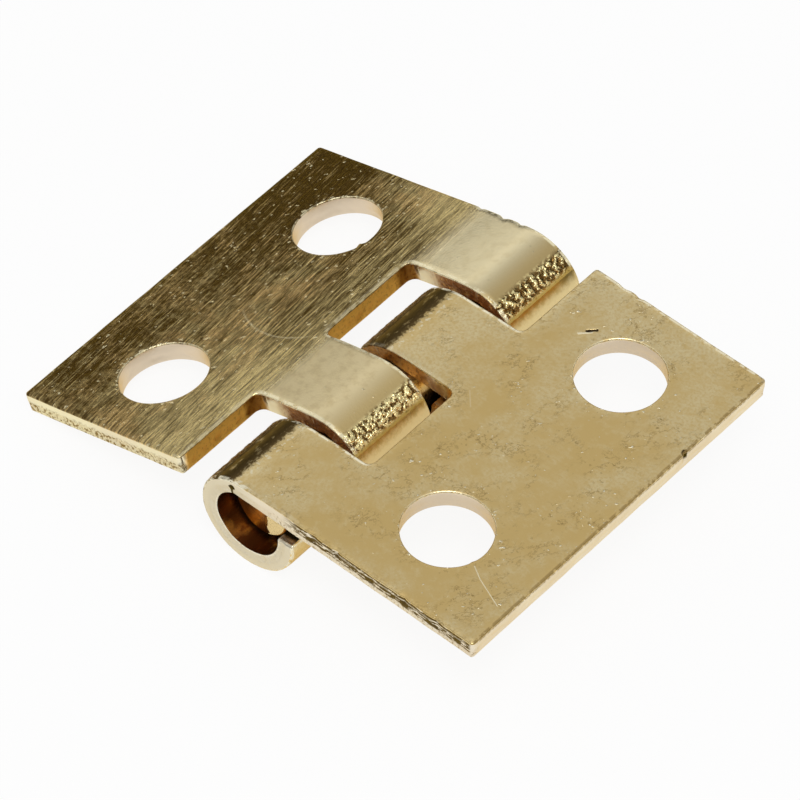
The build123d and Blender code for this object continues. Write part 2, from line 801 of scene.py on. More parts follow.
        # Painted highlight on the rolled lip of the tab and slot edges, weaker at the slot bottoms, and
        # round the screw holes.
        painted_light_area = self.tab.mask(at) * (1 - self.slot_bottom.mask(at) * self.slot_bottom_share)
        lip = self.rolled.mask(bench, at) * painted_light_area.most(rim_scuffs_and_glints * self.rim_lip_highlight).least(1.0)
        colour = bench.blend(lip, colour, self.bright)
        # Painted reflection of the other leaf on the strip below the grain: khaki, with a ragged darker
        # amber band at its top.
        under = self.under.mask(at)
        frayed = (at.across + (blots - NOISE_MIDDLE) * self.hem_fray).ease(*self.hem_bottom)
        hem = (at.across + uneven * self.hem_uneven).ease(*self.hem_top) * frayed
        colour = bench.blend(hem, bench.blend(under, colour, self.khaki), self.amber)
        normal = bench.bump(peel * crust, 1.0, self.bend.shaded_rise, normal)
        matt = bench.speckle(at.place, self.matt)
        dulled = matt * (1 - brushed * self.matt_loss - clear * self.matt_loss)
        normal = bench.bump(dulled, *self.matt_bump, normal)
        rough = self.rough - brushed * self.brushed_gloss - crust * self.crust_gloss
        rough = rough - clear * self.lively_gloss + matt * self.matt_haze
        rough = rough + under * self.under_haze - lip * self.lip_gloss
        bench.surface(bench.metal(colour, rough, normal, 1 - lip * self.rolled.highlight_diffuse_share))
        return material


@dataclass(frozen=True)
class SatinFace:
    """Smooth side of the right leaf: pale satin gold with stains, specks and a few scratches, with painted
    shade on the knuckles' flanks and painted highlights on the rolled lips.
    """

    sizes: HingeSizes
    gold: Colour = (0.93, 0.78, 0.45)
    stain: Colour = (0.79, 0.575, 0.235)
    thread: Colour = (0.42, 0.28, 0.10)
    shadow: Colour = (0.15, 0.10, 0.04)
    spot: Colour = (0.05, 0.03, 0.012)
    bright: Colour = (1.00, 0.92, 0.68)
    crevice_shade: Colour = (0.34, 0.22, 0.08)
    bend: BendGrain = BendGrain()
    rolled: LipHighlight = LipHighlight()
    scratches: tuple[tuple[Point, Point], ...] = (
        ((4.16, -2.66), (4.43, -2.82)),
        ((4.43, -2.82), (5.03, -3.07)),
    )
    slit: tuple[Point, Point] = ((2.16, 2.74), (2.28, 2.87))
    slit_lip: tuple[Point, Point] = ((2.08, 2.60), (2.24, 2.77))
    hair: tuple[Point, Point] = ((1.50, 0.30), (1.76, 0.02))
    nick: Point = (5.26, 1.74)
    clusters: tuple[Point, ...] = ((2.02, 0.93), (2.47, -0.46), (1.75, -1.55), (1.70, 3.05))
    clouds: Speckle = Speckle(0.75, 5.0, 0.62, (1.0, 0.7, 1.0), 0.6)
    mottle: Speckle = Speckle(4.2, 5.0, 0.68)
    dust: Speckle = Speckle(17.0, 3.0, 0.6)
    busy: Speckle = Speckle(1.2)
    threads: Speckle = Speckle(2.2, 5.0, 0.7, (1.0, 0.6, 1.0), 0.5)
    flecks: Speckle = Speckle(9.0, 3.0, 0.6)
    grit: Speckle = Speckle(1.0, 2.0, 0.6, (13.0, 8.0, 1.0), 0.7)
    ragged: Speckle = Speckle(11.0, 4.0, 0.7)
    painted_light_noise: Speckle = Speckle(1.0, 4.0, 0.65, (9.0, 4.0, 1.0))
    satin: Speckle = Speckle(24.0, 3.0)
    clean_back: SoftArea = SoftArea(along=((0.5, 3.8),))
    clean_tabs: SoftArea = SoftArea(across=((1.9, 0.5),))
    shoulder_end: SoftArea = SoftArea(across=((-2.4, -1.7),))
    front: SoftArea = SoftArea(across=((-0.05, 0.20),), along=((-3.86, -3.92),))
    back: SoftArea = SoftArea(along=((3.86, 3.92),))
    tab: SoftArea = SoftArea(across=((1.36, 1.20),))
    outer_edge: SoftArea = SoftArea(across=((5.205, 5.235),))
    back_share: float = 0.14
    tabs_share: float = 0.09
    cloud_lift: float = 0.04
    cloud_levels: Span = (0.30, 0.62)
    clean_mottle: Span = (0.50, 0.36)
    clean_share: float = 0.35
    stained_mottle: Span = (0.50, 0.66)
    stained_share: float = 0.8
    dust_levels: Span = (0.38, 0.66)
    dust_share: float = 0.65
    rim_mark_reach: Span = (1.12, 0.88)
    cluster_reach: Span = (0.30, 0.05)
    busy_levels: Span = (0.44, 0.62)
    vein_width: Span = (0.022, 0.0)
    vein_share: float = 0.6
    fleck_levels: Span = (0.60, 0.66)
    fleck_share: float = 0.5
    hair_width: Span = (0.02, 0.0)
    hair_share: float = 0.3
    slit_lip_width: Span = (0.035, 0.012)
    scratch_width: Span = (0.015, 0.003)
    scratch_share: float = 0.85
    busy_sparks: float = 0.05
    scuff_sparks: float = 0.04
    cluster_sparks: float = 0.10
    spark_levels: Span = (0.71, 0.76)
    fringe: float = 0.06
    slit_width: Span = (0.040, 0.018)
    nick_width: Span = (0.085, 0.060)
    ragged_reach: float = 0.45
    shoulder_start: Span = (-0.24, -0.36)
    shoulder_levels: Span = (0.73, 0.54)
    fray_line: float = -0.20
    fray_width: Span = (0.11, 0.03)
    fray_levels: Span = (0.54, 0.62)
    fray_share: float = 0.7
    quiet_edge: float = 0.11
    quiet_width: Span = (0.12, 0.24)
    quiet_share: float = 0.2
    rim_lip_highlight: float = 0.5
    back_lip: float = 0.8
    darkened_lip_outer: float = 0.75
    darkened_lip_front: float = 0.3
    darkened_lip_levels: Span = (0.46, 0.56)
    level: float = 0.6
    cut_rise: float = 0.2
    spark_rise: float = 0.35
    mottle_rise: float = 0.10
    mark_bump: Bump = Bump(0.8, 0.018)
    crevice_levels: Span = (0.54, 0.40)
    satin_bump: Bump = Bump(0.24, 0.010)
    rough: float = 0.26
    cloud_haze: float = 0.05
    mottle_haze: float = 0.06
    cut_haze: float = 0.3
    lip_gloss: float = 0.14

    def scratched(self, bench: ShaderBench, at: SheetPlace) -> Wire:
        """The scratches, the hairline and a painted highlight on the lip beside the slit.

        Args:
            bench: Where the nodes go.
            at: The place on the sheet.

        Returns:
            A value from 0 to a little over 1.
        """
        cuts = bench.line_distance(at.place, *self.hair).ease(*self.hair_width) * self.hair_share
        cuts = cuts + bench.line_distance(at.place, *self.slit_lip).ease(*self.slit_lip_width)
        for start, end in self.scratches:
            scratch = bench.line_distance(at.place, start, end).ease(*self.scratch_width)
            cuts = cuts.most(scratch * self.scratch_share)
        return cuts

    def material(self) -> bpy.types.Material:
        """Make the finish.

        Returns:
            The material.
        """
        material, bench = new_material("satin_face")
        at = bench.sheet()
        clean = self.clean_back.mask(at) * self.back_share + self.clean_tabs.mask(at) * self.tabs_share
        cloud = (bench.speckle(at.place, self.clouds) + self.cloud_lift - clean).ease(*self.cloud_levels)
        mottle = bench.speckle(at.place, self.mottle)
        dust = bench.speckle(at.place, self.dust).ease(*self.dust_levels) * self.dust_share
        colour = bench.blend(cloud, self.gold, self.stain)
        colour = bench.blend(mottle.ease(*self.clean_mottle) * self.clean_share, colour, self.gold)
        darker_patches = mottle.ease(*self.stained_mottle) * self.stained_share
        colour = bench.blend(darker_patches.most(dust), colour, self.stain)
        # Marks round the screw holes: darker spots, and bright specks that are partly painted glints.
        rim_scuffs_and_glints = bench.hole_distance(at, self.sizes).ease(*self.rim_mark_reach)
        busy = bench.speckle(at.place, self.busy).ease(*self.busy_levels)
        knocks = [bench.spot_distance(at.place, spot).ease(*self.cluster_reach) for spot in self.clusters]
        for knock in knocks:
            busy = busy.most(knock)
        lively = busy * self.busy_sparks + rim_scuffs_and_glints * self.scuff_sparks
        for knock in knocks:
            lively = lively.most(knock * self.cluster_sparks)
        middle = abs(bench.speckle(at.place, self.threads) - NOISE_MIDDLE)
        veins = middle.ease(*self.vein_width) * busy
        flecks = bench.speckle(at.place, self.flecks)
        spots = busy.most(rim_scuffs_and_glints) * flecks.ease(*self.fleck_levels)
        threads = (veins * self.vein_share + spots * self.fleck_share).least(1.0)
        colour = bench.blend(threads, colour, self.thread)
        cuts = self.scratched(bench, at)
        # Bright scratches, a painted highlight on the slit's lip, and bright specks that are partly painted
        # glints.
        sparks = (bench.speckle(at.place, self.grit) + lively).ease(*self.spark_levels)
        colour = bench.blend((cuts + sparks).least(1.0), colour, self.bright)
        # Painted shade in the slit's dent, near-black, and a near-black spot at the nick on the outer edge.
        fringe = (flecks - NOISE_MIDDLE) * self.fringe
        slit = (bench.line_distance(at.place, *self.slit) + fringe).ease(*self.slit_width)
        dark = (bench.spot_distance(at.place, self.nick) + fringe).ease(*self.nick_width)
        colour = bench.blend(dark.most(slit), colour, self.spot)
        # Painted shade: a dark band on the knuckles' flanks, which mirror dark surroundings, broken up by
        # noise.
        ragged = bench.speckle(at.place, self.ragged) - NOISE_MIDDLE
        ragged = at.across + ragged * self.ragged_reach
        shoulder = ragged.ease(*self.shoulder_start) * self.shoulder_end.mask(at)
        painted_light_area = bench.speckle(at.place, self.painted_light_noise).ease(*self.shoulder_levels)
        colour = bench.blend(shoulder * painted_light_area, colour, self.shadow)
        # Painted glints in flecks along the top edge of that band.
        frayed = abs(at.across - self.fray_line).ease(*self.fray_width) * flecks.ease(*self.fray_levels)
        colour = bench.blend(frayed * self.fray_share, colour, self.bright)
        # Painted highlight on the rolled lip of the tab edges, round the screw holes and along the back
        # edge, weaker at the near end and by the centre gap.
        rolled = self.rolled.mask(bench, at)
        front = self.front.mask(at)
        kept = (abs(at.along - self.quiet_edge).ease(*self.quiet_width) - front).most(0.0)
        kept = kept * (1 - self.quiet_share) + self.quiet_share
        bare = self.tab.mask(at).most(rim_scuffs_and_glints * self.rim_lip_highlight).most(self.back.mask(at) * self.back_lip)
        lip = rolled * kept * bare
        colour = bench.blend(lip, colour, self.bright)
        # A darker line on the rolled lip: in flecks at the near end and along the outer edge.
        darkened_lip = front * flecks.ease(*self.darkened_lip_levels) * self.darkened_lip_front
        darkened_lip = darkened_lip.most(self.outer_edge.mask(at) * self.darkened_lip_outer)
        colour = bench.blend(rolled * darkened_lip, colour, self.thread)
        height = self.level + cuts * self.cut_rise + sparks * self.spark_rise
        height = height + mottle * self.mottle_rise - slit
        normal = bench.bump(height, *self.mark_bump)
        # Painted shade in the hollows of the bend's grain.
        crust = self.bend.mask(at)
        peel = self.bend.peel(bench, at)
        colour = bench.blend(crust * peel.ease(*self.crevice_levels), colour, self.crevice_shade)
        normal = bench.bump(peel * crust, 1.0, self.bend.shaded_rise, normal)
        normal = bench.bump(bench.speckle(at.place, self.satin), *self.satin_bump, normal)
        rough = self.rough + cloud * self.cloud_haze + mottle * self.mottle_haze
        rough = rough + cuts.least(1.0) * self.cut_haze - lip * self.lip_gloss
        bench.surface(bench.metal(colour, rough, normal, 1 - lip * self.rolled.highlight_diffuse_share))
        return material


@dataclass(frozen=True)
class Pit:
    """A pit in the barrel's near end, painted near-black as the shade in it: a short line on the sheet's
    section.
    """

    start: Point
    end: Point
    width: float


@dataclass(frozen=True)
class ShearedEdge:
    """A cut edge: burnished, then torn; clean in the holes, painted amber in the slots as the brass they
    mirror, with painted shade on the knuckles' sides and at the curls' tips, burred and painted darker at
    the ends.
    """

    name: str
    sizes: HingeSizes
    fresh: Colour
    ring: Colour
    cheek: Colour
    rosy: Colour = (0.82, 0.70, 0.54)
    torn: Colour = (0.34, 0.22, 0.07)
    amber: Colour = (1.00, 0.59, 0.14)
    red_brown: Colour = (0.27, 0.09, 0.02)
    near_black: Colour = (0.03, 0.02, 0.008)
    glint: Colour = (1.00, 0.95, 0.78)
    burr_and_shade: Colour = (0.11, 0.072, 0.026)
    lean: float = 0.54
    facing: float = 0.0
    crumbling: float = 0.5
    burr_share: float = 0.0
    pits: tuple[Pit, ...] = ()
    spots: tuple[float, ...] = ()
    drag: Speckle = Speckle(1.0, 3.0, 0.5, (11.0, 11.0, 1.2))
    crumbs: Speckle = Speckle(15.0, 4.0, 0.65)
    tint: Speckle = Speckle(1.1)
    pocks: Speckle = Speckle(8.0, 3.0, 0.65)
    smear: Speckle = Speckle(1.0, 5.0, 0.65, (5.0, 5.0, 15.0))
    slot: SoftArea = SoftArea(across=((1.50, 1.38), (1.08, 1.22)))
    tab_side: SoftArea = SoftArea(across=((0.95, 0.45),))
    tip: SoftArea = SoftArea(across=((-4.5, -4.8),))
    curl: SoftArea = SoftArea(across=((0.5, -0.2),))
    solid: SoftArea = SoftArea(across=((0.3, 0.9),))
    plate: SoftArea = SoftArea(across=((0.8, 1.3), (5.24, 5.18)))
    front: SoftArea = SoftArea(along=((-3.5, -3.9),))
    outer: SoftArea = SoftArea(across=((5.0, 5.1),))
    open_curl: SoftArea = SoftArea(across=((-0.9, -1.5),))
    end_faces: Span = (3.80, 3.93)
    hole_wall: Span = (1.00, 0.92)
    tear_start: Span = (0.12, 0.23)
    tint_levels: Span = (0.4, 0.62)
    tint_share: float = 0.4
    near_corner: float = -2.02
    near_corner_reach: Span = (0.30, 0.10)
    far_corner: float = 2.10
    far_corner_reach: Span = (0.26, 0.10)
    corner_share: float = 0.85
    rust_levels: Span = (0.50, 0.66)
    rust_share: float = 0.35
    drag_levels: Span = (0.52, 0.70)
    drag_share: float = 0.4
    rusty_pocks: Span = (0.50, 0.62)
    rusty_share: float = 0.75
    amber_pocks: Span = (0.42, 0.34)
    amber_share: float = 0.8
    middle_gap: float = 0.11
    middle_reach: Span = (0.35, 0.20)
    flake_level: float = 0.60
    flake_soft: Shares = (0.02, 0.10)
    flake_shares: Shares = (0.3, 0.7)
    upper_burr: Span = (0.13, 0.09)
    upper_smear: Span = (0.40, 0.47)
    lower_burr: float = 0.20
    lower_reach: Span = (0.10, 0.06)
    lower_smear: Span = (0.43, 0.50)
    burr_line: Span = (0.10, 0.06)
    line_levels: Span = (0.40, 0.52)
    line_share: float = 0.6
    pit_core: float = 0.7
    spot_depth: Span = (0.22, 0.12)
    spot_reach: Span = (0.07, 0.04)
    rim_depth: Span = (0.34, 0.385)
    rim_levels: Span = (0.40, 0.50)
    rim_share: float = 0.9
    drag_bump: Bump = Bump(0.25, 0.012)
    pock_bump: Bump = Bump(0.8, 0.06)
    crumb_rise: float = 0.045
    rough: float = 0.30
    torn_haze: float = 0.10
    slot_haze: float = 0.08
    cheek_diffuse_share: float = 0.45

    def burr_and_shade_bands(self, bench: ShaderBench, at: SheetPlace, crumbs: Wire, ends: Wire, plain: Wire) -> Wire:
        """Dark bands along the plate's ends and its outer edge: partly the burred edge, partly painted
        shade where the rolled-over edge mirrors dark surroundings.

        Args:
            bench: Where the nodes go.
            at: The place on the sheet.
            crumbs: The torn texture.
            ends: The faces at the two ends of the pin.
            plain: The faces with a finish of their own.

        Returns:
            A value from 0 to 1.
        """
        smear = bench.speckle(at.place, self.smear)
        upper = at.depth.ease(*self.upper_burr) * smear.ease(*self.upper_smear)
        lower = abs(at.depth - self.lower_burr).ease(*self.lower_reach) * smear.ease(*self.lower_smear)
        lip = upper.most(lower) * ends * self.plate.mask(at)
        line = at.depth.ease(*self.burr_line) * crumbs.ease(*self.line_levels)
        line = line * (1 - ends) * (1 - plain) * self.line_share
        return lip.most(line) * self.burr_share

    def marks(self, bench: ShaderBench, at: SheetPlace) -> list[Wire]:
        """The pits in the barrel's near end, painted near-black as shade, and the near-black spots on the
        outer edge.

        Args:
            bench: Where the nodes go.
            at: The place on the sheet.

        Returns:
            One mask for each mark.
        """
        section = bench.node("ShaderNodeCombineXYZ", {}, {"X": at.across, "Y": at.depth})
        front = self.front.mask(at)
        marks = []
        for pit in self.pits:
            away = bench.line_distance(section, pit.start, pit.end)
            marks.append(away.ease(pit.width, pit.width * self.pit_core) * front)
        outer = at.depth.ease(*self.spot_depth) * self.outer.mask(at)
        for spot in self.spots:
            marks.append(abs(at.along - spot).ease(*self.spot_reach) * outer)
        return marks

    def material(self) -> bpy.types.Material:
        """Make the finish.

        Returns:
            The material.
        """
        material, bench = new_material(self.name)
        at = bench.sheet()
        ends = abs(at.along).ease(*self.end_faces)
        reamed = bench.hole_distance(at, self.sizes).ease(*self.hole_wall)
        slots = self.slot.mask(at) * (1 - ends)
        cheeks = self.tab_side.mask(at) * (1 - ends)
        plain = reamed.most(slots).most(cheeks)
        drag = bench.speckle(at.place, self.drag)
        crumbs = bench.speckle(at.place, self.crumbs)
        pocks = bench.speckle(at.place, self.pocks)
        tear = at.depth.ease(*self.tear_start) * ends * (1 - plain)
        tint = bench.speckle(at.place, self.tint).ease(*self.tint_levels) * self.tint_share
        colour = bench.blend(tint.most(reamed), self.fresh, self.rosy)
        colour = bench.blend(ends * self.curl.mask(at), colour, self.ring)
        # Slot walls: painted amber, standing in for the brass they mirror across the slot; darker red-brown
        # towards the slot corners and in flecks.
        near = abs(at.along - self.near_corner).ease(*self.near_corner_reach)
        corners = near.most(abs(at.along - self.far_corner).ease(*self.far_corner_reach))
        darker_patches = corners * self.corner_share + crumbs.ease(*self.rust_levels) * self.rust_share
        colour = bench.blend(slots, colour, bench.blend(darker_patches.least(1.0), self.amber, self.red_brown))
        # Knuckles' sides: painted shade and amber inter-reflection between the knuckles, with drag lines
        # and red-brown and amber pocks.
        dragged = cheeks * (1 - drag.ease(*self.drag_levels) * self.drag_share)
        colour = bench.blend(dragged, colour, self.cheek)
        colour = bench.blend(cheeks * pocks.ease(*self.rusty_pocks) * self.rusty_share, colour, self.red_brown)
        colour = bench.blend(cheeks * pocks.ease(*self.amber_pocks) * self.amber_share, colour, self.amber)
        # Painted amber reflection on the knuckles' sides by the centre gap, as much as the facing setting
        # asks.
        inner = abs(at.along - self.middle_gap).ease(*self.middle_reach) * cheeks
        colour = bench.blend(inner * self.facing, colour, self.amber)
        # Painted shade: the curl's tip, deep in the seam, is painted near-black.
        colour = bench.blend(self.tip.mask(at) * (1 - ends) * (1 - inner), colour, self.near_black)
        loose = self.flake_level - self.flake_soft[0] - self.flake_soft[1] * self.crumbling
        flakes = crumbs.ease(loose, self.flake_level) * self.solid.mask(at)
        torn = self.flake_shares[0] + self.flake_shares[1] * self.crumbling
        colour = bench.blend(flakes * tear * torn, colour, self.torn)
        # Dark bands at the plate's ends and outer edge: partly burred edge, partly painted shade.
        burr_and_shade = self.burr_and_shade_bands(bench, at, crumbs, ends, plain)
        colour = bench.blend(burr_and_shade, colour, self.burr_and_shade)
        # Painted shade in the pits, near-black; near-black spots on the outer edge.
        for mark in self.marks(bench, at):
            colour = bench.blend(mark, colour, self.near_black)
        rim = at.depth.ease(*self.rim_depth) * crumbs.ease(*self.rim_levels)
        rim = rim * ends * self.open_curl.mask(at)
        colour = bench.blend(rim * self.rim_share, colour, self.glint)
        normal = bench.bump(drag, *self.drag_bump)
        normal = bench.bump(pocks * cheeks, *self.pock_bump, normal)
        normal = bench.bump(crumbs * tear.most(burr_and_shade), self.crumbling, self.crumb_rise, normal)
        normal = bench.bump((self.sizes.sheet - at.depth) * slots.most(inner), 1.0, self.lean, normal)
        rough = self.rough + tear * self.torn_haze + slots * self.slot_haze
        # Less metallic on the knuckles' sides, so that their painted amber shows as diffuse colour.
        bench.surface(bench.metal(colour, rough, normal, 1 - cheeks * self.cheek_diffuse_share))
        return material


@dataclass(frozen=True)
class RolledUnder:
    """Barrel side of a leaf: plain rolled brass, with painted shade in amber and brown inside the curls."""

    brass: Colour = (0.90, 0.73, 0.39)
    dim: Colour = (0.77, 0.56, 0.25)
    amber: Colour = (0.80, 0.50, 0.16)
    brown: Colour = (0.32, 0.14, 0.045)
    clouds: Speckle = Speckle(1.1, 5.0, 0.65)
    lines: Speckle = Speckle(1.0, 3.0, 0.5, (12.0, 0.7, 1.0))
    deep: SoftArea = SoftArea(across=((0.3, -0.6),))
    curl: SoftArea = SoftArea(across=((1.5, 0.5),))
    dim_mix: Shares = (0.7, 0.3)
    dim_levels: Span = (0.34, 0.66)
    deep_share: float = 0.10
    brown_levels: Span = (0.46, 0.60)
    line_rise: float = 0.6
    cloud_rise: float = 0.5
    line_bump: Bump = Bump(0.5, 0.018)
    rough: float = 0.24
    cloud_haze: float = 0.16

    def material(self) -> bpy.types.Material:
        """Make the finish.

        Returns:
            The material.
        """
        material, bench = new_material("rolled_under")
        at = bench.sheet()
        cloud = bench.speckle(at.place, self.clouds)
        lines = bench.speckle(at.place, self.lines)
        dimmed = (cloud * self.dim_mix[0] + lines * self.dim_mix[1]).ease(*self.dim_levels)
        # Painted shade inside the curls: amber, going to brown with noise and deeper in.
        deeper_shade = (cloud + self.deep.mask(at) * self.deep_share).ease(*self.brown_levels)
        plain = bench.blend(dimmed, self.brass, self.dim)
        inside = bench.blend(deeper_shade, self.amber, self.brown)
        colour = bench.blend(self.curl.mask(at), plain, inside)
        normal = bench.bump(lines * self.line_rise + cloud * self.cloud_rise, *self.line_bump)
        bench.surface(bench.metal(colour, self.rough + cloud * self.cloud_haze, normal))
        return material


@dataclass(frozen=True)
class DrawnWire:
    """The pin: drawn brass wire with lines along it and one clean corner on its nipped end, painted dark
    amber and brown as the shade inside the barrel, and lighter in the middle where it shows.
    """

    amber: Colour = (0.42, 0.23, 0.08)
    brown: Colour = (0.17, 0.08, 0.03)
    clean: Colour = (1.00, 0.76, 0.36)
    clouds: Speckle = Speckle(1.4, 4.0, 0.6)
    lines: Speckle = Speckle(1.0, 3.0, 0.5, (16.0, 0.9, 16.0))
    painted_light_noise: Speckle = Speckle(7.0, 3.0, 0.65)
    ragged: Speckle = Speckle(5.0, 3.0)
    nipped_end: SoftArea = SoftArea(along=((-3.30, -3.45),))
    cloud_levels: Span = (0.36, 0.60)
    wear_and_light_reach: Span = (0.45, 0.25)
    wear_and_light_levels: Span = (0.36, 0.56)
    ragged_reach: float = 0.25
    nip_edge: Span = (0.12, 0.18)
    nip_slope: float = 1.1
    nip_top: float = 0.6
    line_bump: Bump = Bump(0.5, 0.015)
    rough: float = 0.26
    cloud_haze: float = 0.14
    nip_gloss: float = 0.10

    def material(self) -> bpy.types.Material:
        """Make the finish.

        Returns:
            The material.
        """
        material, bench = new_material("drawn_wire")
        at = bench.sheet()
        cloud = bench.speckle(at.place, self.clouds)
        # Painted shade: the pin lies inside the barrel, so its brass is painted dark amber and brown.
        colour = bench.blend(cloud.ease(*self.cloud_levels), self.amber, self.brown)
        # Bright patches near the middle, where the pin shows in the centre gap: partly bared brass, partly
        # painted light.
        wear_and_light = abs(at.along).ease(*self.wear_and_light_reach)
        painted_light_area = bench.speckle(at.place, self.painted_light_noise).ease(*self.wear_and_light_levels)
        colour = bench.blend(wear_and_light * painted_light_area, colour, self.clean)
        ragged = bench.speckle(at.place, self.ragged) - NOISE_MIDDLE
        ragged = at.across + ragged * self.ragged_reach
        sheared = ragged.ease(*self.nip_edge) * self.nipped_end.mask(at)
        colour = bench.blend(sheared, colour, self.clean)
        normal = bench.bump(bench.speckle(at.place, self.lines), *self.line_bump)
        normal = bench.bump((self.nip_top - at.depth) * sheared, 1.0, self.nip_slope, normal)
        rough = self.rough + cloud * self.cloud_haze - sheared * self.nip_gloss
        bench.surface(bench.metal(colour, rough, normal))
        return material


@dataclass(frozen=True)
class Corner:
    """A corner of a stamped outline."""

    s: float
    y: float
    radius: float

    @property
    def place(self) -> Vector:
        """The corner's place on the sheet, before it is rounded."""
        return Vector((self.s, self.y))


@dataclass(frozen=True)
class Nick:
    """A local fault in a cut edge: how far it runs in, or out where negative."""

    s: float
    y: float
    reach: float
    bite: float
    top: float = 0.0
    bottom: float = 1.0
    fall: float = 2.0

    def inset(self, s: float, y: float, depth_share: float) -> float:
        """How far the edge moves in at a place.

        Args:
            s: Place across the sheet.
            y: Place along the pin.
            depth_share: 0 on the smooth side, 1 on the barrel's side.

        Returns:
            The move, in millimetres.
        """
        if not self.top <= depth_share <= self.bottom:
            return 0.0
        away = math.hypot(s - self.s, y - self.y) / self.reach
        return self.bite * math.exp(-self.fall * away * away)


@dataclass(frozen=True)
class Gouge:
    """A dent struck into a face, longer than it is wide, with a small lip."""

    start: Point
    end: Point
    width: float
    deep: float
    lip_share: float = 0.35
    lip_place: float = 1.9
    lip_fall: float = 2.5

    def depth(self, s: float, y: float) -> float:
        """How deep the dent is at a place, in millimetres."""
        run = Vector(self.end) - Vector(self.start)
        away = Vector((s, y)) - Vector(self.start)
        share = min(1.0, max(0.0, away.dot(run) / run.length_squared))
        off = (away - run * share).length / self.width
        lip = math.exp(-((off - self.lip_place) ** 2) * self.lip_fall)
        return self.deep * (math.exp(-off * off) - self.lip_share * lip)


@dataclass(frozen=True)
class EdgeProfile:
    """Section of a cut edge from the smooth side down: inset and depth of each ring."""

    roll_width: float = 0.035
    roll_depth: float = 0.035
    roll_steps: int = 5
    margin: float = 0.0
    margin_drop: float = 0.0
    margin_run: float = 0.30
    wall: tuple[Point, ...] = (
        (0.0, 0.11),
        (0.0, 0.17),
        (0.004, 0.21),
        (0.010, 0.26),
        (0.013, 0.31),
        (0.012, 0.36),
        (0.018, 0.40),
    )
    wander: float = 0.006
    wander_lumps: float = 2.3
    torn: float = 0.012
    torn_lumps: float = 7.0
    torn_start: Span = (0.42, 0.62)
    torn_end: Span = (0.93, 1.0)
    torn_seed: float = 3.0

    def rings(self) -> list[Point]:
        """Inset and depth of every ring.

        Returns:
            The rings, from the smooth side to the barrel's side.
        """
        roll = [(self.roll_width + self.margin, 0.0)] if self.margin else []
        for step in range(self.roll_steps):
            angle = math.pi / 2 * step / (self.roll_steps - 1)
            inset = self.roll_width * (1 - math.sin(angle))
            roll.append((inset, self.margin_drop + self.roll_depth * (1 - math.cos(angle))))
        return roll + list(self.wall)

    def roughness_at(self, share: float) -> float:
        """How torn the edge is at a share of its depth, from 0 to 1."""
        return smoothstep(*self.torn_start, share) * (1 - smoothstep(*self.torn_end, share))

    @property
    def face_rings(self) -> int:
        """How many strips between rings belong to the smooth side."""
        return self.roll_steps - 1 + bool(self.margin)


@dataclass(frozen=True)
class MeshGauge:
    """How finely the sheet is divided, in millimetres."""

    edge: float = 0.050
    corner_steps: int = 6
    hole_steps: int = 112
    plate: float = 0.095
    tab: float = 0.055
    bend: float = 0.029
    bend_margin: float = 0.2
    under: float = 0.130
    row_share: float = 0.87
    border_share: float = 0.55
    snap: float = 1e-7


class Wave(NamedTuple):
    """An unevenness of the rolled sheet: its height, lumps to a millimetre and seed."""

    height: float
    lumps: float
    seed: float


